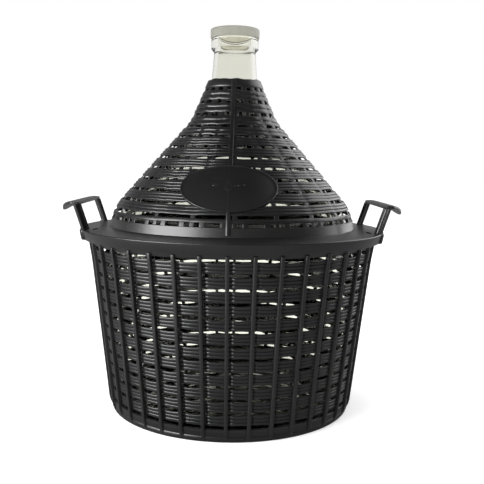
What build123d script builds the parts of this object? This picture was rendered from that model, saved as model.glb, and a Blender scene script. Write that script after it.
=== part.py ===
from build123d import *
import os
from math import cos, degrees, hypot, radians, sin

# Demijohn: a clear glass carboy in a woven-look plastic basket, under a conical cover with two handles.
# Millimetres. The origin is the middle of the basket's foot, +Z up, the oval plate faces -Y,
# and the handles stand at -X and +X.

# ------------------------------------------------------------------ driving dimensions
GAP = 0.3                   # air between pieces that lift apart

# basket
BASKET_FOOT_R = 139.5       # outside of the wall at the floor
BASKET_DRAFT = 0.1156       # growth of the radius per mm of height
BASKET_WALL = 3.0
BASKET_TOP = 203.6
BASKET_FLOOR = 4.7          # top of the floor
FOOT_RECESS = 1.7           # height of the hollow under the floor
FOOT_INNER_R = 124.0
FLARE_START = 174.0         # the wall leans out a little more above this height
FLARE = 1.6
BASKET_RIBS = 38
BASKET_RIB_PHASE = -1.5     # degrees from the front, towards +X
BASKET_RIB_ANGLE = 1.55     # 3.8 mm wide at the foot, 4.5 mm at the rim
BASKET_RIB_PROUD = 2.3
BASKET_RIB_LOW = 5.0
BASKET_RIB_HIGH = 193.0
SLOT_ROWS = 13
SLOT_FIRST = 16.4           # height of the lowest row
SLOT_PITCH = 14.31
SLOT_HEIGHT = 3.2
SLOT_SHY = 0.2              # degrees that a slot stops short of the two ribs, together

# glass
GLASS_WALL = 4.5
GLASS_FOOT_R = 134.2        # where the body's slanted side would meet the table
GLASS_DRAFT = 0.116
GLASS_SHOULDER = (155.6, 196.2)
GLASS_SHOULDER_ROUND = 140.0
GLASS_NECK = (28.5, 340.6)
GLASS_NECK_ROUND = 60.0
GLASS_HEEL_ROUND = 26.0
PUNT_R = 100.0
PUNT_HEIGHT = 11.0
NECK_TOP = (23.6, 405.0)
RING_R = 26.9
RING_LOW = 409.5
RING_HIGH = 420.6
LIP_R = 25.2
LIP_TOP = 428.0

# cap
CAP_R = 27.8
CAP_LOW = 421.4
CAP_TOP = 432.3
CAP_PLATE = 2.2
CAP_BORE_R = 25.5
PLUG_DEPTH = 9.0
PLUG_WALL = 2.2
PLUG_CLEARANCE = 0.3

# cover
COVER_WALL = 2.2
COVER_FOOT = (141.2, 205.0)
COVER_SHOULDER = (139.6, 227.0)
COVER_SHOULDER_ROUND = 60.0
COVER_KNEE = (50.0, 328.2)
COVER_KNEE_ROUND = 30.0
COVER_TOP = (29.4, 375.7)
COVER_RIBS = 20
COVER_RIB_PHASE = 1.0
COVER_RIB_WIDTH = 5.0
COVER_ROWS = 12
COVER_ROW_PITCH = 15.4      # along the slope
COVER_FIRST_ROW = 24.5      # along the slope, from the foot
COVER_SLOT = 2.8
TABS = 40
TAB_PHASE = -3.5
TAB_WIDTH = 8.0
TAB_ROW = 15.9
SEAM_ANGLE = -1.8
SEAM_WIDTH = 4.5
SEAM_PROUD = 1.4
PLATE_ANGLE = -2.2
PLATE_CENTRE_Z = 255.3
PLATE_HALF_WIDTH = 49.9
PLATE_HALF_HEIGHT = 22.6
PLATE_PROUD = 1.0
PLATE_EDGE = 1.4
PLATE_EDGE_PROUD = 1.7

# flange and skirt of the cover
FLANGE_R = 174.6
FLANGE_EDGE_Z = 206.4
FLANGE_INNER_Z = 208.1
FLANGE_THICK = 2.2
SKIRT_R = 171.5             # outside of the skirt at its lower edge
SKIRT_LOW = 195.5
SKIRT_WALL = 2.5
CATCH_SLOT = (149.5, -57.0) # diamond slot beside each front post
CATCH_SLOT_WIDTH = 6.4
CATCH_SLOT_LENGTH = 20.0

# handles
POST_FOOT_X = 160.0
POST_TOP_X = 170.0
POST_Y = 57.0
POST_LENGTH = 8.6           # the I-section, turned 45 degrees
POST_WIDTH = 4.4
POST_WEB = 2.0
POST_FLANGE = 2.2
EAR_TOP_R = 6.5
EAR_FOOT_R = 4.8
EAR_TOP = 207.0
TANG_LENGTH = 6.6
TANG_WIDTH = 3.4
TANG_CLEARANCE = 0.15
BARB = 0.8                  # how much wider the barb is than the tang
BARB_HEIGHT = 2.0
GRIP_TOP = 237.5
GRIP_INNER_X = 166.3
GRIP_CREST_X = 172.5
GRIP_OUTER_X = 195.2
GRIP_HALF_SPAN = 61.0
GRIP_END_X = 175.5
GRIP_DROP = 9.0
GRIP_THICK = 3.6

STANDING = (Align.CENTER, Align.CENTER, Align.MIN)

os.makedirs("parts", exist_ok=True)


def on_side(radius, height):
    """A point of a section, drawn in the XZ plane."""
    return (radius, 0, height)


def spun(points):
    """Solid of revolution about Z with this closed section."""
    outline = Polyline(*[on_side(r, z) for r, z in points], close=True)
    return revolve(make_face(outline), Axis.Z)


def at_front(shape, angle):
    """Turn a shape drawn on the +X side to the front, then by angle towards +X."""
    return Rot(0, 0, angle - 90) * shape


def inset(points, amount):
    """The open outline moved to its left by amount, each side parallel to itself."""
    sides = []
    for (r0, z0), (r1, z1) in zip(points, points[1:]):
        length = hypot(r1 - r0, z1 - z0)
        u, w = (r1 - r0) / length, (z1 - z0) / length
        sides.append((r0 - w * amount, z0 + u * amount, r1 - w * amount, z1 + u * amount, u, w))
    corners = [sides[0][:2]]
    for (ra, za, _, _, ua, wa), (rb, zb, _, _, ub, wb) in zip(sides, sides[1:]):
        along = ((rb - ra) * wb - (zb - za) * ub) / (ua * wb - wa * ub)
        corners.append((ra + ua * along, za + wa * along))
    return corners + [sides[-1][2:4]]


# ------------------------------------------------------------------ glass carboy
def glass_outline():
    """Corners of the outside, from the axis under the base up to the top of the neck."""
    base = BASKET_FLOOR + GAP
    foot = (GLASS_FOOT_R, base)
    return [(0, base + PUNT_HEIGHT), (PUNT_R, base), foot, GLASS_SHOULDER, GLASS_NECK, NECK_TOP]


def glass_body(corners, rounds):
    """Solid inside an outline that runs from the axis to the neck."""
    path = FilletPolyline(*[on_side(r, z) for r, z in corners], radius=rounds)
    top_r, top_z = corners[-1]
    closing = Polyline(on_side(top_r, top_z), on_side(0, top_z), on_side(*corners[0]))
    return revolve(make_face(path + closing), Axis.Z)


def make_glass():
    outer = glass_outline()
    rounds = [8, GLASS_HEEL_ROUND, GLASS_SHOULDER_ROUND, GLASS_NECK_ROUND]
    body = glass_body(outer, rounds)
    before = (-outer[1][0], outer[1][1])
    after = (NECK_TOP[0], LIP_TOP + 50)
    inner = inset([before] + outer + [after], GLASS_WALL)[1:-1]
    inner_rounds = [8 + GLASS_WALL, GLASS_HEEL_ROUND - GLASS_WALL, GLASS_SHOULDER_ROUND - GLASS_WALL,
                    GLASS_NECK_ROUND + GLASS_WALL]
    hollow = glass_body(inner, inner_rounds)
    bore_r = inner[-1][0]
    finish = spun([(0, NECK_TOP[1] - 1), (NECK_TOP[0], NECK_TOP[1] - 1), (NECK_TOP[0], RING_LOW - 2.5),
                   (RING_R, RING_LOW), (RING_R, RING_HIGH - 1.2), (RING_R - 1.2, RING_HIGH),
                   (LIP_R, RING_HIGH), (LIP_R, LIP_TOP - 1), (LIP_R - 1, LIP_TOP), (0, LIP_TOP)])
    bore = Pos(0, 0, inner[-1][1] - 2) * Cylinder(bore_r, LIP_TOP, align=STANDING)
    return body + finish - hollow - bore, bore_r


# ------------------------------------------------------------------ cap
def make_cap(bore_r):
    plug_r = bore_r - PLUG_CLEARANCE
    roof = CAP_TOP - CAP_PLATE
    shell = spun([(0, roof), (CAP_BORE_R, roof), (CAP_BORE_R, CAP_LOW), (CAP_R, CAP_LOW),
                  (CAP_R, CAP_TOP - 1.6), (CAP_R - 1.2, CAP_TOP - 0.5), (0, CAP_TOP)])
    plug = spun([(plug_r - PLUG_WALL, roof - PLUG_DEPTH), (plug_r - 0.8, roof - PLUG_DEPTH),
                 (plug_r, roof - PLUG_DEPTH + 1.5), (plug_r, roof + 0.5), (plug_r - PLUG_WALL, roof + 0.5)])
    return shell + plug


# ------------------------------------------------------------------ basket
def basket_r(height):
    return BASKET_FOOT_R + BASKET_DRAFT * height


def basket_rim_r():
    return basket_r(BASKET_TOP) + FLARE


def make_basket():
    top_r = basket_rim_r()
    wall = spun([(0, FOOT_RECESS), (FOOT_INNER_R, FOOT_RECESS), (FOOT_INNER_R + 1, 0), (BASKET_FOOT_R - 1, 0),
                 (BASKET_FOOT_R, 1), (basket_r(FLARE_START), FLARE_START), (top_r, BASKET_TOP),
                 (top_r - BASKET_WALL, BASKET_TOP), (basket_r(FLARE_START) - BASKET_WALL, FLARE_START),
                 (basket_r(BASKET_FLOOR) - BASKET_WALL, BASKET_FLOOR), (0, BASKET_FLOOR)])
    slots = []
    pitch = 360 / BASKET_RIBS
    opening = pitch - BASKET_RIB_ANGLE - SLOT_SHY
    for row in range(SLOT_ROWS):
        height = SLOT_FIRST + SLOT_PITCH * row
        radius = basket_r(height)
        section = Pos(radius, 0, height) * (Rot(90, 0, 0) * Rectangle(16, SLOT_HEIGHT))
        slot = Rot(0, 0, -opening / 2) * revolve(section, Axis.Z, revolution_arc=opening)
        for k in range(BASKET_RIBS):
            slots.append(at_front(slot, BASKET_RIB_PHASE + pitch * (k + 0.5)))
    high_r = basket_r(BASKET_RIB_HIGH) + FLARE * 0.7
    low_r = basket_r(BASKET_RIB_LOW)
    flare_r = basket_r(FLARE_START)
    back = BASKET_WALL / 2
    rib_outline = Polyline(on_side(low_r - back, BASKET_RIB_LOW), on_side(low_r, BASKET_RIB_LOW),
                           on_side(low_r + BASKET_RIB_PROUD, BASKET_RIB_LOW + 6),
                           on_side(flare_r + BASKET_RIB_PROUD, FLARE_START),
                           on_side(high_r + BASKET_RIB_PROUD - 0.5, BASKET_RIB_HIGH),
                           on_side(high_r - back, BASKET_RIB_HIGH), on_side(flare_r - back, FLARE_START),
                           close=True)
    rib = Rot(0, 0, -BASKET_RIB_ANGLE / 2) * revolve(make_face(rib_outline), Axis.Z,
                                                     revolution_arc=BASKET_RIB_ANGLE)
    ribs = [at_front(rib, BASKET_RIB_PHASE + pitch * k) for k in range(BASKET_RIBS)]
    return (wall - slots) + ribs


# ------------------------------------------------------------------ cover
COVER_CORNERS = [COVER_FOOT, COVER_SHOULDER, COVER_KNEE, COVER_TOP]


def cover_line(inward):
    """The cone's outside line, from the flange up to the collar, moved inward."""
    points = inset(COVER_CORNERS, inward)
    rounds = [COVER_SHOULDER_ROUND - inward, COVER_KNEE_ROUND + inward]
    return FilletPolyline(*[on_side(r, z) for r, z in points], radius=rounds)


def cone_shell(proud):
    """The cone's wall, with its outside moved out by proud."""
    outer = cover_line(-proud)
    inner = cover_line(COVER_WALL)
    ends = Line(outer @ 0, inner @ 0) + Line(outer @ 1, inner @ 1)
    return revolve(make_face(outer + inner + ends), Axis.Z)


def slope_slot(wire, along, opening, height):
    """A cutter square to the slope, centred on the +X side, spanning opening degrees."""
    place = wire.position_at(along, position_mode=PositionMode.LENGTH)
    heading = wire.tangent_at(along, position_mode=PositionMode.LENGTH)
    across = Plane(origin=place, x_dir=heading, z_dir=(0, -1, 0))
    section = across * Rectangle(height, 12)
    return Rot(0, 0, -opening / 2) * revolve(section, Axis.Z, revolution_arc=opening)


def ellipse_prism(margin):
    """An elliptical bar out through the front of the cone, where the plate is."""
    outline = Ellipse(PLATE_HALF_WIDTH - margin, PLATE_HALF_HEIGHT - margin)
    return extrude(Pos(0, 0, PLATE_CENTRE_Z) * (Rot(90, 0, PLATE_ANGLE) * outline), 200)


def make_cover():
    wire = cover_line(0)
    cutters = []
    pitch = 360 / COVER_RIBS
    for row in range(COVER_ROWS):
        along = COVER_FIRST_ROW + COVER_ROW_PITCH * row
        radius = wire.position_at(along, position_mode=PositionMode.LENGTH).X
        slot = slope_slot(wire, along, pitch - degrees(COVER_RIB_WIDTH / radius), COVER_SLOT)
        for k in range(COVER_RIBS):
            cutters.append(at_front(slot, COVER_RIB_PHASE + pitch * (k + 0.5)))
    tab_slot = slope_slot(wire, TAB_ROW, 360 / TABS - degrees(TAB_WIDTH / COVER_FOOT[0]), COVER_SLOT)
    for k in range(TABS):
        cutters.append(at_front(tab_slot, TAB_PHASE + 360 / TABS * (k + 0.5)))
    cone = cone_shell(0) - cutters

    plate = (cone_shell(PLATE_PROUD) & ellipse_prism(0)) + \
        (cone_shell(PLATE_EDGE_PROUD) & (ellipse_prism(0) - ellipse_prism(PLATE_EDGE)))
    seam_slab = at_front(Pos(0, 0, 206) * Box(200, SEAM_WIDTH, 168, align=(Align.MIN, Align.CENTER, Align.MIN)),
                         SEAM_ANGLE)
    seam = cone_shell(SEAM_PROUD) & seam_slab

    inner_r = COVER_FOOT[0] - COVER_WALL
    flange = spun([(inner_r, FLANGE_INNER_Z - FLANGE_THICK), (inner_r, FLANGE_INNER_Z),
                   (FLANGE_R - 1.2, FLANGE_EDGE_Z + 0.2), (FLANGE_R, FLANGE_EDGE_Z - 1.0), (SKIRT_R, SKIRT_LOW),
                   (SKIRT_R - SKIRT_WALL, SKIRT_LOW), (FLANGE_R - SKIRT_WALL - 0.6, FLANGE_EDGE_Z - FLANGE_THICK)])
    ear = Pos(POST_FOOT_X, POST_Y, SKIRT_LOW) * Cone(EAR_FOOT_R, EAR_TOP_R, EAR_TOP - SKIRT_LOW, align=STANDING)
    ear -= Cylinder(basket_rim_r() + 2 * GAP, FLANGE_EDGE_Z - FLANGE_THICK, align=STANDING)
    ears = [ear, mirror(ear, Plane.YZ), mirror(ear, Plane.XZ), mirror(mirror(ear, Plane.YZ), Plane.XZ)]
    sockets = [Pos(sx * POST_FOOT_X, sy * POST_Y, SKIRT_LOW) * (Rot(0, 0, 45 * sx * sy) * Box(
        TANG_LENGTH + 2 * TANG_CLEARANCE, TANG_WIDTH + 2 * TANG_CLEARANCE, 60)) for sx in (-1, 1) for sy in (-1, 1)]
    half_x, half_y = CATCH_SLOT_WIDTH / 2, CATCH_SLOT_LENGTH / 2
    diamond = make_face(Polyline((half_x, 0), (0, half_y), (-half_x, 0), (0, -half_y), close=True))
    catch_slots = [extrude(Pos(sx * CATCH_SLOT[0], CATCH_SLOT[1], SKIRT_LOW) * diamond, 30) for sx in (-1, 1)]
    return (cone + flange + plate + seam + ears) - sockets - catch_slots


# ------------------------------------------------------------------ handles
def make_handle(side):
    """Handle on the side given by -1 or +1: two leaning posts, tangs below, and a drooping grip."""
    lean = (POST_TOP_X - POST_FOOT_X, 0, GRIP_TOP - EAR_TOP)
    post_rise = hypot(lean[0], lean[2]) * (GRIP_TOP - GRIP_THICK - EAR_TOP + 1.5) / lean[2]
    groove = (POST_WIDTH - POST_WEB) / 2
    web_length = POST_LENGTH - 2 * POST_FLANGE
    profile = Rectangle(POST_LENGTH, POST_WIDTH)
    for edge in (-1, 1):
        profile -= Pos(0, edge * (POST_WIDTH - groove) / 2) * Rectangle(web_length, groove)
    pieces = []
    for end in (-1, 1):
        turned = Pos(POST_FOOT_X, end * POST_Y, EAR_TOP) * (Rot(0, 0, 45 * end) * profile)
        pieces.append(extrude(turned, post_rise, dir=lean))
        tang_height = EAR_TOP - SKIRT_LOW + GAP + 0.2
        tang = Box(TANG_LENGTH, TANG_WIDTH, tang_height, align=(Align.CENTER, Align.CENTER, Align.MAX))
        barb = Pos(0, 0, -tang_height) * Box(TANG_LENGTH + BARB, TANG_WIDTH + BARB, BARB_HEIGHT,
                                             align=(Align.CENTER, Align.CENTER, Align.MAX))
        pieces.append(Pos(POST_FOOT_X, end * POST_Y, EAR_TOP) * (Rot(0, 0, 45 * end) * (tang + barb)))

    reach = GRIP_OUTER_X - GRIP_CREST_X
    bend = (reach ** 2 + GRIP_DROP ** 2) / (2 * GRIP_DROP)
    centre = Pos(GRIP_CREST_X, 0, GRIP_TOP - bend) * Rot(90, 0, 0)
    sheet = centre * Cylinder(bend, 2 * GRIP_HALF_SPAN) - centre * Cylinder(bend - GRIP_THICK, 2 * GRIP_HALF_SPAN)
    sagitta = GRIP_OUTER_X - GRIP_END_X
    outline = Polyline((GRIP_END_X, -GRIP_HALF_SPAN), (GRIP_INNER_X, -GRIP_HALF_SPAN),
                       (GRIP_INNER_X, GRIP_HALF_SPAN), (GRIP_END_X, GRIP_HALF_SPAN))
    outline += ThreePointArc((GRIP_END_X, GRIP_HALF_SPAN), (GRIP_END_X + sagitta, 0), (GRIP_END_X, -GRIP_HALF_SPAN))
    plan = Pos(0, 0, GRIP_TOP - bend) * make_face(outline)
    grip = sheet & extrude(plan, bend + 1)
    handle = grip + pieces
    return handle if side > 0 else mirror(handle, Plane.YZ)


# ------------------------------------------------------------------ write the pieces
glass, mouth_r = make_glass()
parts = {
    "glass_carboy": glass,
    "neck_cap": make_cap(mouth_r),
    "basket": make_basket(),
    "shoulder_cover": make_cover(),
    "left_handle": make_handle(-1),
    "right_handle": make_handle(1),
}
for name, shape in parts.items():
    export_step(shape, f"parts/{name}.step")
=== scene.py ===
"""Demijohn: clear glass carboy in a black plastic basket with a slotted cone over its shoulder."""
from math import atan2, cos, degrees, hypot, pi, radians, sin, sqrt, tan

import bmesh
import bpy
import numpy as np
from mathutils import Matrix, Vector


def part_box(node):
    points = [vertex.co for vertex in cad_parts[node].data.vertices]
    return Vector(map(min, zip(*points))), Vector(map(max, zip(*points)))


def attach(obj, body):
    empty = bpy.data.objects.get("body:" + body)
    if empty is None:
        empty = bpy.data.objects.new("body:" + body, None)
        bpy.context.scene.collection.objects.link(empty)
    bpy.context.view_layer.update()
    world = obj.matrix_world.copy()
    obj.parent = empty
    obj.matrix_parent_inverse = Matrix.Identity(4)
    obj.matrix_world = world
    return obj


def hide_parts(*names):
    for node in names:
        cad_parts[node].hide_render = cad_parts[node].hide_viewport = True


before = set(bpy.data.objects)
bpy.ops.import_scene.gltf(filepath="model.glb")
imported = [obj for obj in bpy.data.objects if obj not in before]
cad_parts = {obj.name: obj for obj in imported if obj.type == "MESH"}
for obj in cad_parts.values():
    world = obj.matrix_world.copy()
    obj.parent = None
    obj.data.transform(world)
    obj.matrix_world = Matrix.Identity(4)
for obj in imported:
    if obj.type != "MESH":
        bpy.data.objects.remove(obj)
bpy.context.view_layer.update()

# ------------------------------------------------------------------ sizes, mm
MM = 0.001


def span(node):
    """Lowest and highest corner of a CAD node, mm."""
    low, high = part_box(node)
    return [v / MM for v in low], [v / MM for v in high]


BASKET_HIGH = span("basket")[1]
COVER_LOW, COVER_HIGH = span("shoulder_cover")
GLASS_LOW, GLASS_HIGH = span("glass_carboy")
CAP_LOW, CAP_HIGH = span("neck_cap")
GRIP_HIGH = span("right_handle")[1]

# basket
FOOT_R = 139.5
DRAFT = 0.1156
WALL = 3.0
FLARE_START = 174.0
FLARE = 1.6
RIM_Z = BASKET_HIGH[2]
FLOOR_TOP = 4.7
FOOT_HOLLOW_R = 124.0
FOOT_HOLLOW = 1.7
RIBS = 38
RIB_PHASE = -1.5
RIB_WIDTH = 3.9
RIB_PROUD = 2.3
RIB_BACK = 2.4                 # how deep a rib reaches into the strands
RIB_CROWN = 0.8
RIB_GROOVE = 1.5               # hollow of the strands beside a rib
GROOVE_OFF_RIB = 1.0
GROOVE_FADE = 1.5
RIB_LOW = 5.0
RIB_HIGH = 193.0
ROWS = 13
ROW_FIRST = 16.4
ROW_PITCH = 14.31
SLOT = 3.8
STRANDS = 3
STRAND_CREST = 0.8
BAND_SWELL = 0.16              # how much taller a band is where it passes a rib
BAND_WANDER = 0.35
BAND_DIP = 0.5                 # how much further in a band lies at a rib
DIP_WANDER = 0.15
BAND_SEGMENTS = 15             # from one rib to the next
RIM_SEGMENTS = 8
FOOT_SEGMENTS = 216

# glass
GLASS_WALL = 4.5
GLASS_BASE = GLASS_LOW[2]
PUNT = 11.0
PUNT_R = 100.0
GLASS_FOOT_R = 134.2
GLASS_SHOULDER = (155.6, 196.2)
GLASS_NECK = (28.5, 340.6)
NECK_TOP = (23.6, 405.0)
HEEL_ROUND = 26.0
SHOULDER_ROUND = 140.0
NECK_ROUND = 60.0
PUNT_ROUND = 8.0
RING_R = 26.9
RING_LOW = 409.5
RING_HIGH = 420.6
LIP_R = 25.2
LIP_TOP = GLASS_HIGH[2]
GLASS_SEGMENTS = 192

# cap
CAP_R = CAP_HIGH[0]
CAP_TOP = CAP_HIGH[2]
CAP_SKIRT_LOW = 421.4
CAP_BORE_R = 25.5
CAP_PLATE = 2.2
PLUG_R = 18.8
PLUG_WALL = 2.2
PLUG_PAINTED_GLOW = 0.40               # painted glow on the plug, standing in for light that the wall of the cap lets through to it
# painted glow over the rest of the cap, standing in for light scattered through it
CAP_PAINTED_GLOW = 0.06
CAP_SEGMENTS = 144

# cover
COVER_WALL = 2.2
COVER_FOOT = (141.2, 205.0)
COVER_SHOULDER = (139.6, 227.0)
COVER_KNEE = (50.0, 328.2)
COVER_TOP = (29.4, COVER_HIGH[2])
COVER_SHOULDER_ROUND = 60.0
COVER_KNEE_ROUND = 30.0
COVER_RIBS = 20
COVER_RIB_PHASE = 1.0
COVER_RIB_WIDTH = 5.0
COVER_ROWS = 12
COVER_ROW_PITCH = 15.4
COVER_FIRST_ROW = 24.5
COVER_SLOT = 4.0
COVER_BANDS = ((1, 1, 0.7), (7, 3, 1.2), (4, 2, 1.5))   # from the foot: bands, strands in each, crest
COVER_BAND_DEEP = 1.9
COVER_BAND_SWELL = 0.08
COVER_BAND_DIP = 0.35
COVER_BAND_WANDER = 0.35
COVER_SLOT_WANDER = 0.5
COVER_SEGMENTS = 16            # from one rib to the next
COVER_RIB_SINK = 0.9           # the ribs lie this far below the strands' crests
COVER_RIB_CROWN = 0.3
TABS = 40
TAB_PHASE = -3.5
TAB_WIDTH = 8.0
TAB_ROW = 15.9
TAB_SINK = 0.5
TAB_BACK = 2.0
SEAM_ANGLE = -1.8
SEAM_WIDTH = 4.5
SEAM_PROUD = 1.15
SEAM_CROWN = 1.0
SEAM_PROUD_HIGH = 0.45         # above the plate
SEAM_CROWN_HIGH = 0.6
SEAM_BACK = 1.6
PLATE_ANGLE = -2.2
PLATE_Z = 255.3
PLATE_HALF = (49.9, 22.6)
PLATE_PROUD = 1.0
PLATE_POINTS = 120
MARKS_UP = 3.0                 # the marks stand this far above the middle of the plate

# flange
FLANGE_R = COVER_HIGH[1]
FLANGE_EDGE_Z = 206.4
FLANGE_INNER_Z = 208.1
FLANGE_ROUND = 1.1
FLANGE_THICK = 2.2
SKIRT_R = 171.5
SKIRT_LOW = COVER_LOW[2]
SKIRT_WALL = 2.5
CATCH_SLOT = (149.5, -57.0)
CATCH_SLOT_WIDTH = 6.4
CATCH_SLOT_LENGTH = 20.0
FLANGE_SEGMENTS = 288

# handles
POST_FOOT_X = 160.0
POST_TOP_X = 170.0
POST_Y = 57.0
POST_LENGTH = 8.6
POST_WIDTH = 4.4
POST_WEB = 2.6
POST_FLANGE = 2.8
EAR_TOP_R = 6.5
EAR_FOOT_R = 4.8
EAR_TOP = 207.0
GRIP_TOP = GRIP_HIGH[2]
GRIP_INNER_X = 166.3
GRIP_CREST_X = 172.5
GRIP_OUTER_X = GRIP_HIGH[0]
GRIP_HALF_SPAN = 61.0
GRIP_END_X = 175.5
GRIP_DROP = 9.0
GRIP_THICK = 3.6

# camera and stage
CAMERA_DISTANCE = 818.5
CAMERA_HEIGHT = 283.3
CAMERA_PITCH = -6.59
CAMERA_YAW = -0.81
CAMERA_ROLL = 0.9
FOCAL_PER_WIDTH = 699.6 / 484
SENSOR = 36.0
FLOOR_R = 12.0                 # m
REFLECTED_FRONT = 0.055        # strength of the surroundings in reflections, by direction
REFLECTED_BEHIND = 0.34
REFLECTED_RIGHT = 0.90
SOFTBOXES = (                  # name, place and size in m, power in W
    ("soft_front_left", (-1.8, -1.2, 0.5), (1.9, 1.3), 125),
    ("soft_back_left", (-0.25, 1.2, 1.5), (0.5, 0.9), 3.5),
    ("soft_back_right", (1.6, 1.0, 1.0), (2.2, 2.0), 22),
)
LIGHT_TARGET = (0, 0, 0.22)

# looks
PLASTIC_TONE = 0.0045
BASKET_ROUGHNESS = 0.36
COVER_ROUGHNESS = 0.32
HANDLE_ROUGHNESS = 0.36
NOISE_ROUGHNESS = 0.55


# ------------------------------------------------------------------ mesh helpers
def mesh_piece(name, points, faces, node, sharp):
    """One smooth piece from points in mm, which stands for the CAD node; edges past sharp degrees stay."""
    body, slot, material = FINISH[node]
    mesh = bpy.data.meshes.new(name)
    mesh.from_pydata((np.asarray(points) * MM).tolist(), [], faces)
    mesh.validate()
    piece = bpy.data.objects.new(name, mesh)
    bpy.context.scene.collection.objects.link(piece)
    bm = bmesh.new()
    bm.from_mesh(mesh)
    bmesh.ops.remove_doubles(bm, verts=bm.verts, dist=1e-6)
    bmesh.ops.recalc_face_normals(bm, faces=bm.faces)
    bm.to_mesh(mesh)
    bm.free()
    mesh.polygons.foreach_set("use_smooth", [True] * len(mesh.polygons))
    mesh.set_sharp_from_angle(angle=radians(sharp))
    mesh.materials.append(material)
    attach(piece, body)
    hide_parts(node)
    return piece


class Shape:
    """Points and faces of one piece, gathered from several closed solids."""

    def __init__(self):
        self.points = []
        self.faces = []
        self.count = 0

    def add(self, points, faces):
        points = np.asarray(points, dtype=float)
        self.points.append(points)
        self.faces += [tuple(i + self.count for i in face) for face in faces]
        self.count += len(points)

    def all_points(self):
        return np.vstack(self.points)

    def piece(self, name, node, sharp=50):
        mesh_piece(name, self.all_points(), self.faces, node, sharp)


def turned(points, angle):
    """Points drawn at the front (-Y) turned by angle degrees towards +X."""
    a = radians(angle)
    turn = np.array([[cos(a), -sin(a), 0], [sin(a), cos(a), 0], [0, 0, 1]])
    return np.asarray(points) @ turn.T


def grid_faces(rows, columns, wrap_rows, wrap_columns):
    """Four-sided faces between rows of points."""
    faces = []
    for i in range(rows if wrap_rows else rows - 1):
        for j in range(columns if wrap_columns else columns - 1):
            a, b = i * columns + j, i * columns + (j + 1) % columns
            c, d = ((i + 1) % rows) * columns + (j + 1) % columns, ((i + 1) % rows) * columns + j
            faces.append((a, b, c, d))
    return faces


def lathe(section, segments, place):
    """A closed section carried round the axis; place(t, n, angle) gives radius and height."""
    t = np.array([p[0] for p in section])
    n = np.array([p[1] for p in section])
    rings = []
    for k in range(segments):
        angle = 2 * pi * k / segments
        r, z = place(t, n, degrees(angle))
        rings.append(np.column_stack([r * sin(angle), -r * cos(angle), z]))
    return np.vstack(rings), grid_faces(segments, len(section), True, True)


def plain(t, n, angle):
    """For a section that is already given as radius and height."""
    return t, n


def loft(sections):
    """Closed solid through closed sections of equal length, with flat ends."""
    rows, columns = len(sections), len(sections[0])
    faces = grid_faces(rows, columns, False, True)
    faces.append(tuple(range(columns - 1, -1, -1)))
    faces.append(tuple((rows - 1) * columns + j for j in range(columns)))
    return np.vstack(sections), faces


def rounded_line(corners, rounds, step=3.0):
    """Points along straight sides whose inner corners are rounded to the radii given."""
    points = [np.array(corners[0], float)]
    for before, corner, after, radius in zip(corners, corners[1:], corners[2:], rounds):
        c = np.array(corner, float)
        u = (np.array(before) - c) / np.linalg.norm(np.array(before) - c)
        v = (np.array(after) - c) / np.linalg.norm(np.array(after) - c)
        half = np.arccos(np.clip(u @ v, -1, 1)) / 2
        centre = c + (u + v) / np.linalg.norm(u + v) * radius / sin(half)
        start, end = c + u * radius / tan(half), c + v * radius / tan(half)
        a0 = atan2(*(start - centre)[::-1])
        a1 = atan2(*(end - centre)[::-1])
        sweep = (a1 - a0 + pi) % (2 * pi) - pi
        count = max(3, int(abs(sweep) * radius / step))
        for i in range(count + 1):
            a = a0 + sweep * i / count
            points.append(centre + radius * np.array([cos(a), sin(a)]))
    points.append(np.array(corners[-1], float))
    return points


def inset(corners, amount):
    """The open line moved to its left, each side parallel to itself."""
    sides = []
    for (r0, z0), (r1, z1) in zip(corners, corners[1:]):
        length = hypot(r1 - r0, z1 - z0)
        u, w = (r1 - r0) / length, (z1 - z0) / length
        sides.append((r0 - w * amount, z0 + u * amount, r1 - w * amount, z1 + u * amount, u, w))
    moved = [sides[0][:2]]
    for (ra, za, _, _, ua, wa), (rb, zb, _, _, ub, wb) in zip(sides, sides[1:]):
        along = ((rb - ra) * wb - (zb - za) * ub) / (ua * wb - wa * ub)
        moved.append((ra + ua * along, za + wa * along))
    return moved + [sides[-1][2:4]]


class Slope:
    """The cone's outside line, by the distance along it from the foot."""

    def __init__(self):
        corners = [COVER_FOOT, COVER_SHOULDER, COVER_KNEE, COVER_TOP]
        line = np.array(rounded_line(corners, [COVER_SHOULDER_ROUND, COVER_KNEE_ROUND], 1.0))
        line = line[np.r_[True, np.hypot(*np.diff(line, axis=0).T) > 1e-6]]
        steps = np.hypot(*np.diff(line, axis=0).T)
        self.s = np.r_[0, np.cumsum(steps)]
        self.r, self.z = line.T
        heading = np.gradient(line, self.s, axis=0)
        heading /= np.linalg.norm(heading, axis=1)[:, None]
        self.nr, self.nz = heading[:, 1], -heading[:, 0]
        self.length = self.s[-1]

    def at(self, s, n=0.0):
        """Radius and height of the point n proud of the outside at distance s."""
        r = np.interp(s, self.s, self.r) + np.interp(s, self.s, self.nr) * n
        z = np.interp(s, self.s, self.z) + np.interp(s, self.s, self.nz) * n
        return r, z

    def along(self, z):
        return float(np.interp(z, self.z, self.s))


slope = Slope()


def strand_section(low, high, count, crest, depth, steps=6):
    """Section of a band of rounded strands side by side, crests at 0, back at -depth."""
    width = (high - low) / count
    points = []
    for k in range(count):
        for i in range(steps + (k == count - 1)):
            turn = pi * i / steps
            points.append((low + width * (k + (1 - cos(turn)) / 2), crest * (sin(turn) ** 0.7 - 1)))
    lip = 0.5
    back = [(high - 0.1, -depth + lip), (high - lip, -depth), (low + lip, -depth), (low + 0.1, -depth + lip)]
    return points + back


# ------------------------------------------------------------------ materials
def grey(value):
    return (value, value, value, 1)


def node_material(name):
    material = bpy.data.materials.new(name)
    material.use_nodes = True
    nodes, links = material.node_tree.nodes, material.node_tree.links
    shader = next(n for n in nodes if n.type == "BSDF_PRINCIPLED")
    return material, nodes, links, shader


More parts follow.
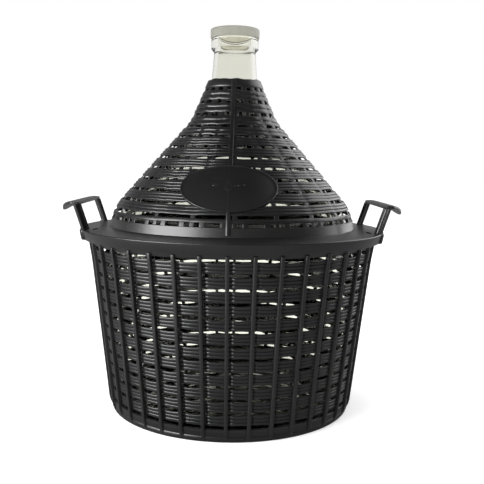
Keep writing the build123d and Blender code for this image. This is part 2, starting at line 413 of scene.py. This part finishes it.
def noise(nodes, links, scale, detail):
    """Noise fixed to the object, scale cells to the metre."""
    where = nodes.new("ShaderNodeTexCoord")
    texture = nodes.new("ShaderNodeTexNoise")
    texture.inputs["Scale"].default_value = scale
    texture.inputs["Detail"].default_value = detail
    texture.inputs["Roughness"].default_value = NOISE_ROUGHNESS
    links.new(where.outputs["Object"], texture.inputs["Vector"])
    return texture


def ramp(nodes, links, source, low, high, start=0.35, end=0.65):
    """Maps a factor to a colour between low and high."""
    node = nodes.new("ShaderNodeValToRGB")
    node.color_ramp.elements[0].position = start
    node.color_ramp.elements[1].position = end
    node.color_ramp.elements[0].color = low
    node.color_ramp.elements[1].color = high
    links.new(source, node.inputs["Fac"])
    return node


def combined(nodes, links, operation, *terms):
    """Arithmetic on numbers and sockets."""
    step = nodes.new("ShaderNodeMath")
    step.operation = operation
    for socket, term in zip(step.inputs, terms):
        if isinstance(term, float):
            socket.default_value = term
        else:
            links.new(term, socket)
    return step.outputs[0]


def eased(nodes, links, value, low, high, at_low, at_high):
    """Goes smoothly from one strength to another as the value goes from low to high."""
    step = nodes.new("ShaderNodeMapRange")
    step.interpolation_type = "SMOOTHSTEP"
    for name, number in (("From Min", low), ("From Max", high), ("To Min", at_low), ("To Max", at_high)):
        step.inputs[name].default_value = number
    links.new(value, step.inputs["Value"])
    return step.outputs["Result"]


def add_bump(nodes, links, shader, height, strength, distance):
    bump = nodes.new("ShaderNodeBump")
    bump.inputs["Strength"].default_value = strength
    bump.inputs["Distance"].default_value = distance
    links.new(height, bump.inputs["Height"])
    links.new(bump.outputs["Normal"], shader.inputs["Normal"])


def black_plastic(name, roughness):
    """Moulded black polyethylene: a soft sheen that varies in patches, fine grain, paler worn edges."""
    tone = PLASTIC_TONE
    material, nodes, links, shader = node_material(name)
    patches = noise(nodes, links, 9.0, 4.0)
    grain = noise(nodes, links, 900.0, 2.0)
    colour = ramp(nodes, links, patches.outputs["Fac"], (tone * 0.8, tone * 0.8, tone * 0.85, 1),
                  (tone * 1.3, tone * 1.3, tone * 1.35, 1))
    wear = nodes.new("ShaderNodeNewGeometry")
    edge = ramp(nodes, links, wear.outputs["Pointiness"], grey(0), grey(1), 0.54, 0.62)
    mix = nodes.new("ShaderNodeMix")
    mix.data_type = "RGBA"
    mix.inputs["B"].default_value = grey(tone * 3.0)
    links.new(edge.outputs["Color"], mix.inputs["Factor"])
    links.new(colour.outputs["Color"], mix.inputs["A"])
    links.new(mix.outputs["Result"], shader.inputs["Base Color"])
    gloss = ramp(nodes, links, patches.outputs["Fac"], grey(roughness * 0.85), grey(roughness * 1.15))
    links.new(gloss.outputs["Color"], shader.inputs["Roughness"])
    add_bump(nodes, links, shader, grain.outputs["Fac"], 0.12, 0.0004)
    shader.inputs["Specular IOR Level"].default_value = 0.5
    return material


def clear_glass():
    """Blown glass: clear with a faint olive cast, seeds and a slow waviness."""
    material, nodes, links, shader = node_material("glass_clear")
    shader.inputs["Base Color"].default_value = (0.855, 0.855, 0.80, 1)
    shader.inputs["Transmission Weight"].default_value = 1.0
    shader.inputs["IOR"].default_value = 1.5
    shader.inputs["Specular IOR Level"].default_value = 0.15
    shader.inputs["Roughness"].default_value = 0.015
    waves = noise(nodes, links, 22.0, 2.0)
    add_bump(nodes, links, shader, waves.outputs["Fac"], 0.15, 0.002)
    return material


def cap_plastic():
    """Natural polyethylene: whitish, translucent, slightly scuffed, with a painted glow that is stronger
    round the plug.
    """
    material, nodes, links, shader = node_material("cap_natural")
    patches = noise(nodes, links, 60.0, 4.0)
    colour = ramp(nodes, links, patches.outputs["Fac"], (0.29, 0.29, 0.25, 1), (0.35, 0.35, 0.305, 1))
    links.new(colour.outputs["Color"], shader.inputs["Base Color"])
    gloss = ramp(nodes, links, patches.outputs["Fac"], grey(0.3), grey(0.45))
    links.new(gloss.outputs["Color"], shader.inputs["Roughness"])
    shader.inputs["Transmission Weight"].default_value = 0.2
    shader.inputs["IOR"].default_value = 1.45
    # the cap emits a painted glow in this colour, strongest on the plug
    shader.inputs["Emission Color"].default_value = (1.0, 0.97, 0.80, 1)
    where = nodes.new("ShaderNodeTexCoord")
    axes = nodes.new("ShaderNodeSeparateXYZ")
    links.new(where.outputs["Object"], axes.inputs[0])
    across = combined(nodes, links, "MULTIPLY", axes.outputs["X"], axes.outputs["X"])
    across = combined(nodes, links, "MULTIPLY_ADD", axes.outputs["Y"], axes.outputs["Y"], across)
    inner = eased(nodes, links, across, (PLUG_R * MM + 0.001) ** 2, (PLUG_R * MM + 0.003) ** 2, 1.0, 0.0)
    below = eased(nodes, links, axes.outputs["Z"], (CAP_TOP - 3.0) * MM, (CAP_TOP - 2.0) * MM, 1.0, 0.0)
    plug = combined(nodes, links, "MULTIPLY", inner, below)
    glow = combined(nodes, links, "MULTIPLY_ADD", plug, PLUG_PAINTED_GLOW - CAP_PAINTED_GLOW, CAP_PAINTED_GLOW)
    links.new(glow, shader.inputs["Emission Strength"])
    return material


BASKET_PLASTIC = black_plastic("plastic_basket", BASKET_ROUGHNESS)
COVER_PLASTIC = black_plastic("plastic_cover", COVER_ROUGHNESS)
HANDLE_PLASTIC = black_plastic("plastic_handle", HANDLE_ROUGHNESS)
GLASS = clear_glass()
CAP_PLASTIC = cap_plastic()

# for each CAD node: the body that its pieces ride on, their slot and their material
FINISH = {
    "basket": ("basket", "basket_plastic", BASKET_PLASTIC),
    "shoulder_cover": ("cover", "cover_plastic", COVER_PLASTIC),
    "left_handle": ("cover", "handle_plastic", HANDLE_PLASTIC),
    "right_handle": ("cover", "handle_plastic", HANDLE_PLASTIC),
    "glass_carboy": ("carboy", "clear_glass", GLASS),
    "neck_cap": ("cap", "cap_plastic", CAP_PLASTIC),
}


# ------------------------------------------------------------------ basket
def basket_r(z):
    """Outside of the strands at height z; the wall leans out more near the rim."""
    return FOOT_R + DRAFT * z + np.clip((z - FLARE_START) / (RIM_Z - FLARE_START), 0, 1) * FLARE


def panel(angle):
    """0 at a rib of the basket, 1 in the middle between two ribs."""
    return (1 - cos(radians((angle - RIB_PHASE) * RIBS))) / 2


def past_rib(angle, ribs, phase):
    """Degrees from the nearest of the ribs, positive towards +X at the front."""
    return (angle - phase + 180 / ribs) % (360 / ribs) - 180 / ribs


def wander(angle, band, reach):
    """Slow unevenness of a band round the object, different for each band."""
    a = radians(angle)
    return reach * (sin(3 * a + 2.4 * band) + sin(7 * a + 4.1 * band) + sin(13 * a + 1.7 * band)) / 3


def basket_wall():
    """Bands of three strands, with an open slot between one band and the next."""
    shape = Shape()
    edges = [ROW_FIRST + ROW_PITCH * row for row in range(ROWS)]
    for band, (low, high) in enumerate(zip(edges, edges[1:])):
        middle = (low + high) / 2

        def place(t, n, angle):
            """The band is taller and lies deeper at each rib, with a groove along the rib's +X side."""
            taller = 1 + BAND_SWELL * (1 - panel(angle)) ** 2
            z = middle + (t - middle) * taller + wander(angle, band, BAND_WANDER)
            dip = BAND_DIP * (1 - panel(angle) ** 0.5) + wander(angle, band + 20, DIP_WANDER)
            off_groove = radians(past_rib(angle, RIBS, RIB_PHASE)) * FOOT_R - RIB_WIDTH / 2 - GROOVE_OFF_RIB
            dip = dip + RIB_GROOVE * np.clip(1.6 - abs(off_groove) / GROOVE_FADE, 0, 1)
            return basket_r(z) + np.minimum(n - dip, 0), z

        section = strand_section(low + SLOT / 2, high - SLOT / 2, STRANDS, STRAND_CREST, WALL)
        shape.add(*lathe(section, RIBS * BAND_SEGMENTS, place))
    rim_low = edges[-1] + SLOT / 2
    rim = [(rim_low, -1.0), (rim_low + 0.8, 0), (RIM_Z - 0.8, 0), (RIM_Z, -0.8), (RIM_Z, -WALL + 0.6),
           (RIM_Z - 0.6, -WALL), (rim_low + 0.6, -WALL), (rim_low, -WALL + 0.6)]
    shape.add(*lathe(rim, RIBS * RIM_SEGMENTS, lambda t, n, angle: (basket_r(t) + n, t)))
    shape.piece("basket_strands", "basket")


def basket_foot():
    """Solid lower band with a groove round it, foot ring and floor."""
    top = ROW_FIRST - SLOT / 2
    r_top = float(basket_r(top))
    foot = float(basket_r(0))
    inner = r_top - WALL
    section = [(0, FOOT_HOLLOW), (FOOT_HOLLOW_R, FOOT_HOLLOW), (FOOT_HOLLOW_R + 1.2, 0), (foot - 1.4, 0),
               (foot - 0.4, 0.4), (foot, 1.4), (float(basket_r(5.2)), 5.2), (float(basket_r(6)) - 0.5, 6),
               (float(basket_r(6.8)), 6.8), (r_top, top - 0.8), (r_top - 0.8, top), (inner + 0.6, top),
               (inner, top - 0.6), (inner - 1, FLOOR_TOP + 1.5), (inner - 2.5, FLOOR_TOP), (0, FLOOR_TOP)]
    shape = Shape()
    shape.add(*lathe(section, FOOT_SEGMENTS, plain))
    shape.piece("basket_foot", "basket")


def rib_section(width, proud, back, crown):
    """Square-sided bar with a crowned face, as (across, outward) points."""
    half = width / 2
    points = [(-half, -back), (-half, proud - crown)]
    for i in range(1, 9):
        turn = pi * i / 9
        points.append((-half * cos(turn), proud - crown + crown * sin(turn) ** 0.8))
    return points + [(half, proud - crown), (half, -back)]


def basket_ribs():
    """Upright ribs, which grow out of the foot and stop just under the cover's skirt."""
    heights = [RIB_LOW - 2, RIB_LOW, RIB_LOW + 3, RIB_LOW + 7]
    heights += [*np.linspace(RIB_LOW + 14, RIB_HIGH - 2, 24), RIB_HIGH]
    growth = [0.05, 0.35, 0.75] + [1.0] * (len(heights) - 4) + [0.8]
    section = rib_section(RIB_WIDTH, RIB_PROUD, RIB_BACK, RIB_CROWN)
    rings = []
    for z, grow in zip(heights, growth):
        r = float(basket_r(z))
        rings.append(np.array([(x, -(r + n * grow if n > 0 else r + n), z) for x, n in section]))
    points, faces = loft(rings)
    shape = Shape()
    for k in range(RIBS):
        shape.add(turned(points, RIB_PHASE + 360 / RIBS * k), faces)
    shape.piece("basket_ribs", "basket")


# ------------------------------------------------------------------ cover
def cover_bands():
    """Bands of strands up the cone, with a plain collar at the top and a plain band at the foot."""
    shape = Shape()
    segments = COVER_RIBS * COVER_SEGMENTS
    rows = [COVER_FIRST_ROW + COVER_ROW_PITCH * row for row in range(COVER_ROWS)]
    lows = [TAB_ROW] + rows[:-1]
    strands = [(count, crest) for bands, count, crest in COVER_BANDS for _ in range(bands)]
    for band, (low, high, (count, crest)) in enumerate(zip(lows, rows, strands)):
        middle = (low + high) / 2
        radius = float(slope.at(middle)[0])

        def place(t, n, angle):
            """The band is a little taller and lower at each rib, which it runs over."""
            off = past_rib(angle, COVER_RIBS, COVER_RIB_PHASE)
            clear = np.clip((abs(radians(off)) * radius - COVER_RIB_WIDTH * 0.35) / 5.0, 0, 1)
            clear = clear * clear * (3 - 2 * clear)
            lift = np.minimum(n - COVER_BAND_DIP * (1 - clear) + wander(angle, band, COVER_BAND_WANDER), 0)
            taller = (1 + COVER_BAND_SWELL) - COVER_BAND_SWELL * clear
            s = middle + (t - middle) * taller + wander(angle, band + 30, COVER_SLOT_WANDER)
            return slope.at(s, lift)

        section = strand_section(low + COVER_SLOT / 2, high - COVER_SLOT / 2, count, crest, COVER_BAND_DEEP)
        shape.add(*lathe(section, segments, place))
    low = rows[-1] + COVER_SLOT / 2
    top = slope.length
    collar = [(low, -1.2), (low + 0.8, -0.2), (low + 2.5, 0), (top - 1.6, 0), (top - 0.5, -0.4), (top, -1.1),
              (top - 0.2, -COVER_WALL + 0.9), (top - 0.9, -COVER_WALL + 0.7), (low + 0.5, -COVER_WALL),
              (low, -COVER_WALL + 0.5)]

    def uneven(t, n, angle):
        """The collar's top edge goes slowly up and down."""
        return slope.at(t - (t - low) / (top - low) * (1.0 + wander(angle, 50, 1.0)), n)

    shape.add(*lathe(collar, segments, uneven))
    base_top = TAB_ROW - COVER_SLOT / 2
    base = [(0, -COVER_WALL), (0, 0), (base_top - 0.8, 0), (base_top, -0.8), (base_top, -COVER_WALL)]
    shape.add(*lathe(base, segments, lambda t, n, angle: slope.at(t, n)))
    shape.piece("cover_strands", "shoulder_cover")


def slope_bar(shape, angle, low, high, width, proud, back, crown=COVER_RIB_CROWN, steps=60):
    """A bar up the cone at the angle given."""
    rings = []
    for i in range(steps + 1):
        s = low + (high - low) * i / steps
        ring = []
        for x, n in rib_section(width, proud, back, crown):
            r, z = slope.at(s, n)
            ring.append((x, -float(r), float(z)))
        rings.append(np.array(ring))
    points, faces = loft(rings)
    shape.add(turned(points, angle), faces)


def cover_ribs():
    """Sunk ribs that tie the bands together, and the tabs across the lowest slot."""
    shape = Shape()
    for k in range(COVER_RIBS):
        angle = COVER_RIB_PHASE + 360 / COVER_RIBS * k
        slope_bar(shape, angle, TAB_ROW - 2, slope.length - 7, COVER_RIB_WIDTH, -COVER_RIB_SINK,
                  COVER_BAND_DEEP)
    for k in range(TABS):
        angle = TAB_PHASE + 360 / TABS * k
        slope_bar(shape, angle, TAB_ROW - 3, TAB_ROW + 4, TAB_WIDTH - 2, -TAB_SINK, TAB_BACK, steps=6)
    shape.piece("cover_ribs", "shoulder_cover")


def cover_seam():
    """Rib down the front: proud below the plate's top edge, flatter above it."""
    shape = Shape()
    plate_top = slope.along(PLATE_Z + PLATE_HALF[1])
    slope_bar(shape, SEAM_ANGLE, 6.0, plate_top - 0.5, SEAM_WIDTH, SEAM_PROUD, SEAM_BACK, SEAM_CROWN)
    slope_bar(shape, SEAM_ANGLE, plate_top, slope.length - 3.4, SEAM_WIDTH, SEAM_PROUD_HIGH, SEAM_BACK,
              SEAM_CROWN_HIGH)
    shape.piece("cover_seam", "shoulder_cover")


def on_cone(x, z, proud):
    """The point of the cone at this width and height of the plate, proud of the cone's outside."""
    s = slope.along(z)
    r, height = slope.at(s, proud)
    r = float(r)
    return turned((x, -sqrt(r * r - x * x), float(height)), PLATE_ANGLE)


def cover_plate():
    """Oval plate moulded on the front, with a thin raised edge."""
    shape = Shape()
    face = 0.965
    rings = [(1.0, -1.8), (1.0, PLATE_PROUD + 0.1), (0.997, PLATE_PROUD + 0.5), (0.985, PLATE_PROUD + 0.6),
             (0.975, PLATE_PROUD + 0.2), (face, PLATE_PROUD)]
    rings += [(face * (1 - i / 12), PLATE_PROUD) for i in range(1, 12)]
    count = PLATE_POINTS
    points = []
    for size, proud in rings:
        for k in range(count):
            a = 2 * pi * k / count
            x, z = PLATE_HALF[0] * size * cos(a), PLATE_HALF[1] * size * sin(a)
            points.append(on_cone(x, PLATE_Z + z, proud))
    faces = grid_faces(len(rings), count, False, True)
    faces.append(tuple((len(rings) - 1) * count + j for j in range(count)))
    for k in range(0, count // 2 - 1):
        faces.append((k, k + 1, count - k - 2, count - k - 1))
    shape.add(points, faces)
    shape.piece("cover_plate", "shoulder_cover", 60)


def plate_marks():
    """A drop between two short bars, standing just proud of the plate."""
    outlines = []
    drop = []
    for k in range(32):
        a = 2 * pi * k / 32
        drop.append((3.6 * sin(a) * abs(sin(a / 2)) ** 1.2 * 1.5, 5.2 * cos(a)))
    outlines.append(drop)
    for side in (-1, 1):
        bar = []
        for k in range(24):
            a = 2 * pi * k / 24
            across = np.sign(cos(a)) * abs(cos(a)) ** 0.5
            up = np.sign(sin(a)) * abs(sin(a)) ** 0.5
            bar.append((side * 13 + 3.6 * across, up))
        outlines.append(bar)
    shape = Shape()
    base = PLATE_Z + MARKS_UP
    for outline in outlines:
        cx = sum(p[0] for p in outline) / len(outline)
        cz = sum(p[1] for p in outline) / len(outline)
        sections = []
        for size, proud in ((1.0, PLATE_PROUD - 0.3), (1.0, PLATE_PROUD + 0.3), (0.85, PLATE_PROUD + 0.55)):
            sections.append(np.array([on_cone(cx + (x - cx) * size, base + cz + (z - cz) * size, proud)
                                      for x, z in outline]))
        shape.add(*loft(sections))
    shape.piece("plate_marks", "shoulder_cover", 60)


def cut_prism(piece, corners, low, high):
    """Cut an upright hole with these corners through the piece."""
    points, faces = loft([np.array([(x, y, z) for x, y in corners]) for z in (low, high)])
    mesh = bpy.data.meshes.new("hole")
    mesh.from_pydata((points * MM).tolist(), [], faces)
    cutter = bpy.data.objects.new("hole", mesh)
    bpy.context.scene.collection.objects.link(cutter)
    bm = bmesh.new()
    bm.from_mesh(mesh)
    bmesh.ops.recalc_face_normals(bm, faces=bm.faces)
    bm.to_mesh(mesh)
    bm.free()
    cut = piece.modifiers.new("hole", "BOOLEAN")
    cut.operation = "DIFFERENCE"
    cut.solver = "EXACT"
    cut.object = cutter
    with bpy.context.temp_override(object=piece, active_object=piece):
        bpy.ops.object.modifier_apply(modifier="hole")
    bpy.data.objects.remove(cutter)


def cover_rim():
    """Flange and skirt, with a catch hole beside each front post."""
    foot, under = COVER_FOOT[0], FLANGE_EDGE_Z - FLANGE_THICK
    inner = foot - COVER_WALL
    start = (foot + 1.5, FLANGE_INNER_Z - 0.1)
    outline = [(inner, FLANGE_INNER_Z - FLANGE_THICK), (inner, FLANGE_INNER_Z + 0.5),
               (foot, FLANGE_INNER_Z + 0.5), (foot + 0.6, FLANGE_INNER_Z + 0.1), start]
    edge = rounded_line([start, (FLANGE_R, FLANGE_EDGE_Z + 0.2), (SKIRT_R, SKIRT_LOW)], [FLANGE_ROUND], 0.3)
    outline += [tuple(p) for p in edge[1:-1]]
    outline += [(SKIRT_R + 0.1, SKIRT_LOW + 0.8), (SKIRT_R - 0.5, SKIRT_LOW),
                (SKIRT_R - SKIRT_WALL + 0.5, SKIRT_LOW), (SKIRT_R - SKIRT_WALL, SKIRT_LOW + 0.6),
                (FLANGE_R - SKIRT_WALL - 0.6, under - 0.5), (FLANGE_R - SKIRT_WALL - 1.6, under)]
    points, faces = lathe(outline, FLANGE_SEGMENTS, plain)
    rim = mesh_piece("cover_rim", points, faces, "shoulder_cover", 50)
    half_x, half_y = CATCH_SLOT_WIDTH / 2, CATCH_SLOT_LENGTH / 2
    for side in (-1, 1):
        diamond = [(side * CATCH_SLOT[0] + x, CATCH_SLOT[1] + y)
                   for x, y in ((half_x, 0), (0, half_y), (-half_x, 0), (0, -half_y))]
        cut_prism(rim, diamond, FLANGE_EDGE_Z - 10, FLANGE_EDGE_Z + 10)


def cover_ears():
    """The four bosses at the flange's edge that take the handles' tangs."""
    ring = [(cos(2 * pi * k / 32), sin(2 * pi * k / 32)) for k in range(32)]
    profile = ((SKIRT_LOW, EAR_FOOT_R - 1.0), (SKIRT_LOW + 1.0, EAR_FOOT_R), (EAR_TOP - 3.0, EAR_TOP_R - 0.2),
               (EAR_TOP - 1.2, EAR_TOP_R), (EAR_TOP - 0.3, EAR_TOP_R - 0.5), (EAR_TOP, EAR_TOP_R - 1.4))
    shape = Shape()
    for sx in (-1, 1):
        for sy in (-1, 1):
            sections = []
            for z, size in profile:
                sections.append(np.array([(sx * POST_FOOT_X + x * size, sy * POST_Y + y * size, z)
                                          for x, y in ring]))
            shape.add(*loft(sections))
    shape.piece("cover_ears", "shoulder_cover")


# ------------------------------------------------------------------ handles
def post_outline():
    """I-section of a post, corners eased, as (along, across) points."""
    a, b = POST_LENGTH / 2, POST_WIDTH / 2
    c, d = a - POST_FLANGE, POST_WEB / 2
    e = 0.5
    quarter = [(a - e, b), (c + e, b), (c, b - e), (c - 0.6, d + 0.3), (c - 1.2, d)]
    outline = [(a, b - e)] + quarter
    left = [(-x, y) for x, y in reversed(outline)]
    top = outline + left
    return top + [(-x, -y) for x, y in top]


def add_posts(shape):
    """Two I-section posts turned 45 degrees, which lean out from the flange to the grip."""
    lean = (POST_TOP_X - POST_FOOT_X) / (GRIP_TOP - EAR_TOP)
    rise = GRIP_TOP - GRIP_THICK - EAR_TOP + 1.0
    for end in (-1, 1):
        a = radians(45 * end)
        sections = []
        for i in range(13):
            up = rise * i / 12
            sections.append(np.array([(POST_FOOT_X + lean * up + x * cos(a) - y * sin(a),
                                       end * POST_Y + x * sin(a) + y * cos(a), EAR_TOP - 0.4 + up)
                                      for x, y in post_outline()]))
        shape.add(*loft(sections))


def add_grip(shape):
    """A curved plate that droops outwards, with a bowed outer edge and eased corners."""
    reach = GRIP_OUTER_X - GRIP_CREST_X
    bend = (reach ** 2 + GRIP_DROP ** 2) / (2 * GRIP_DROP)
    sagitta = GRIP_OUTER_X - GRIP_END_X
    plan = (GRIP_HALF_SPAN ** 2 + sagitta ** 2) / (2 * sagitta)

    def bend_z(x, deep):
        return GRIP_TOP - bend + sqrt((bend - deep) ** 2 - (x - GRIP_CREST_X) ** 2)

    stations = [(-GRIP_HALF_SPAN * (1 - 0.004 * i * i), 1 - i / 4) for i in range(4)]
    stations += [(y, 0) for y in np.linspace(-0.96, 0.96, 41) * GRIP_HALF_SPAN]
    stations += [(GRIP_HALF_SPAN * (1 - 0.004 * i * i), 1 - i / 4) for i in (3, 2, 1, 0)]
    sections = []
    for y, near in stations:
        outer = GRIP_OUTER_X - plan + sqrt(plan ** 2 - y ** 2)
        ease = 0.9 * near ** 2
        x0, x1 = GRIP_INNER_X + ease, outer - ease
        across = np.linspace(0, 1, 15)
        across = (1 - np.cos(pi * across)) / 2
        round_off = ease * 0.5 + 0.8 * (1 - np.sqrt(1 - (2 * across - 1) ** 10))
        wide = x0 + (x1 - x0) * across
        upper = [(x, bend_z(x, 0) - off) for x, off in zip(wide, round_off)]
        lower = [(x, bend_z(x, GRIP_THICK) + off) for x, off in zip(wide, round_off)]
        sections.append(np.array([(x, y, z) for x, z in upper + lower[::-1]]))
    shape.add(*loft(sections))


def handle(side, node):
    shape = Shape()
    add_posts(shape)
    add_grip(shape)
    points = shape.all_points()
    points[:, 0] *= side
    mesh_piece(node + "_moulding", points, shape.faces, node, 40)


# ------------------------------------------------------------------ glass and cap
def glass_piece():
    """The glass body with its hollow, bore, finish ring and lip."""
    outer = [(0.0, GLASS_BASE + PUNT), (PUNT_R, GLASS_BASE), (GLASS_FOOT_R, GLASS_BASE), GLASS_SHOULDER,
             GLASS_NECK, NECK_TOP]
    rounds = [PUNT_ROUND, HEEL_ROUND, SHOULDER_ROUND, NECK_ROUND]
    outside = [tuple(p) for p in rounded_line(outer, rounds)]
    extended = [(-PUNT_R, GLASS_BASE)] + outer + [(NECK_TOP[0], LIP_TOP)]
    inner = inset(extended, GLASS_WALL)[1:-1]
    inner_rounds = [PUNT_ROUND + GLASS_WALL, HEEL_ROUND - GLASS_WALL, SHOULDER_ROUND - GLASS_WALL,
                    NECK_ROUND + GLASS_WALL]
    inside = [tuple(p) for p in rounded_line(inner, inner_rounds)]
    finish = rounded_line([(NECK_TOP[0], RING_LOW - 4), (RING_R, RING_LOW), (RING_R, RING_HIGH),
                           (LIP_R, RING_HIGH), (LIP_R, LIP_TOP), (inside[-1][0], LIP_TOP)],
                          [1.5, 1.5, 0.5, 1.6], 0.5)
    section = outside + [tuple(p) for p in finish] + [(inside[-1][0], LIP_TOP - 0.8)] + inside[::-1]
    kept = [section[0]]
    for point in section[1:]:
        if hypot(point[0] - kept[-1][0], point[1] - kept[-1][1]) > 0.05:
            kept.append(point)
    shape = Shape()
    shape.add(*lathe(kept, GLASS_SEGMENTS, plain))
    shape.piece("carboy_glass", "glass_carboy", 60)


def cap_piece():
    """Push-on cap with a rounded top edge, a skirt and a hollow plug."""
    roof = CAP_TOP - CAP_PLATE
    plug_low = CAP_LOW[2]
    edge = rounded_line([(CAP_R, CAP_SKIRT_LOW + 1), (CAP_R, CAP_TOP - 0.5), (0, CAP_TOP)], [1.8], 0.4)
    plug_bore = PLUG_R - PLUG_WALL
    section = [(0, roof), (plug_bore, roof), (plug_bore, plug_low), (PLUG_R - 0.8, plug_low),
               (PLUG_R, plug_low + 1.5), (PLUG_R, roof), (CAP_BORE_R, roof), (CAP_BORE_R, CAP_SKIRT_LOW),
               (CAP_R - 0.5, CAP_SKIRT_LOW)]
    section += [tuple(p) for p in edge]
    shape = Shape()
    shape.add(*lathe(section, CAP_SEGMENTS, plain))
    shape.piece("cap_moulding", "neck_cap", 40)


# ------------------------------------------------------------------ stage, lights, camera
def stage():
    """A pale floor that reads white, and is dimmer in the reflections on the plastic."""
    bm = bmesh.new()
    bmesh.ops.create_circle(bm, cap_ends=True, segments=96, radius=FLOOR_R)
    mesh = bpy.data.meshes.new("floor")
    bm.to_mesh(mesh)
    bm.free()
    floor = bpy.data.objects.new("floor", mesh)
    bpy.context.scene.collection.objects.link(floor)
    material, nodes, links, shader = node_material("floor_pale")
    shader.inputs["Base Color"].default_value = grey(0.93)
    shader.inputs["Roughness"].default_value = 0.9
    shader.inputs["Specular IOR Level"].default_value = 0.0
    shader.inputs["Emission Color"].default_value = grey(1)
    shader.inputs["Emission Strength"].default_value = 0.2
    dark = nodes.new("ShaderNodeBsdfDiffuse")
    dark.inputs["Color"].default_value = grey(0.25)
    mix = nodes.new("ShaderNodeMixShader")
    links.new(reflected_only(nodes, links), mix.inputs["Fac"])
    links.new(shader.outputs["BSDF"], mix.inputs[1])
    links.new(dark.outputs["BSDF"], mix.inputs[2])
    output = next(n for n in nodes if n.type == "OUTPUT_MATERIAL")
    links.new(mix.outputs["Shader"], output.inputs["Surface"])
    mesh.materials.append(material)


def reflected_only(nodes, links):
    """1 for light seen in a gloss, 0 for light seen directly, through glass or by diffuse surfaces."""
    path = nodes.new("ShaderNodeLightPath")
    opaque = combined(nodes, links, "SUBTRACT", 1.0, path.outputs["Is Transmission Ray"])
    return combined(nodes, links, "MULTIPLY", path.outputs["Is Glossy Ray"], opaque)


def area_light(name, place, size, power, unlit):
    """A softbox that faces the object, unseen through the glass; it doesn't light the unlit pieces."""
    light = bpy.data.lights.new(name, "AREA")
    light.shape = "RECTANGLE"
    light.size, light.size_y = size
    light.energy = power
    lamp = bpy.data.objects.new(name, light)
    lamp.location = place
    lamp.visible_transmission = False
    lamp.rotation_euler = (Vector(LIGHT_TARGET) - Vector(place)).to_track_quat("-Z", "Y").to_euler()
    bpy.context.scene.collection.objects.link(lamp)
    lamp.light_linking.receiver_collection = unlit


def lighting():
    """White surroundings, dimmer in reflections, and the softboxes, which leave no glare on glass or cap."""
    world = bpy.data.worlds.new("studio")
    world.use_nodes = True
    nodes, links = world.node_tree.nodes, world.node_tree.links
    background = nodes["Background"]
    background.inputs["Color"].default_value = grey(1)
    direction = nodes.new("ShaderNodeTexCoord")
    axes = nodes.new("ShaderNodeSeparateXYZ")
    links.new(direction.outputs["Generated"], axes.inputs[0])
    behind = eased(nodes, links, axes.outputs["Y"], -0.1, 0.6, 0.0, REFLECTED_BEHIND)
    low_down = eased(nodes, links, axes.outputs["Z"], 0.1, 0.5, 1.0, 0.3)
    behind = combined(nodes, links, "MULTIPLY_ADD", behind, low_down, REFLECTED_FRONT)
    right = eased(nodes, links, axes.outputs["X"], 0.15, 0.75, 0.0, REFLECTED_RIGHT)
    not_front = eased(nodes, links, axes.outputs["Y"], -0.4, 0.2, 0.0, 1.0)
    reflected = combined(nodes, links, "MULTIPLY_ADD", right, not_front, behind)
    direct = combined(nodes, links, "SUBTRACT", 1.0, reflected_only(nodes, links))
    shown = combined(nodes, links, "MULTIPLY", reflected, reflected_only(nodes, links))
    links.new(combined(nodes, links, "ADD", direct, shown), background.inputs["Strength"])
    bpy.context.scene.world = world
    unlit = bpy.data.collections.new("no_softbox_glare")
    for name in ("carboy_glass", "cap_moulding"):
        unlit.objects.link(bpy.data.objects[name])
    for member in unlit.collection_objects:
        member.light_linking.link_state = "EXCLUDE"
    for name, place, size, power in SOFTBOXES:
        area_light(name, place, size, power, unlit)


def camera():
    """In front of the object, a little above it, looking slightly down."""
    data = bpy.data.cameras.new("view")
    data.sensor_width = SENSOR
    data.lens = SENSOR * FOCAL_PER_WIDTH
    data.clip_end = 50
    eye = bpy.data.objects.new("view", data)
    yaw = Matrix.Rotation(radians(CAMERA_YAW), 4, "Z")
    pitch = Matrix.Rotation(radians(90 + CAMERA_PITCH), 4, "X")
    roll = Matrix.Rotation(radians(CAMERA_ROLL), 4, "Z")
    turn = yaw @ pitch @ roll
    eye.matrix_world = Matrix.Translation((0, -CAMERA_DISTANCE * MM, CAMERA_HEIGHT * MM)) @ turn
    bpy.context.scene.collection.objects.link(eye)
    bpy.context.scene.camera = eye
    bpy.context.scene.view_settings.view_transform = "Standard"


basket_wall()
basket_foot()
basket_ribs()
cover_bands()
cover_ribs()
cover_seam()
cover_plate()
plate_marks()
cover_rim()
cover_ears()
handle(-1, "left_handle")
handle(1, "right_handle")
glass_piece()
cap_piece()
stage()
lighting()
camera()

bpy.context.view_layer.update()
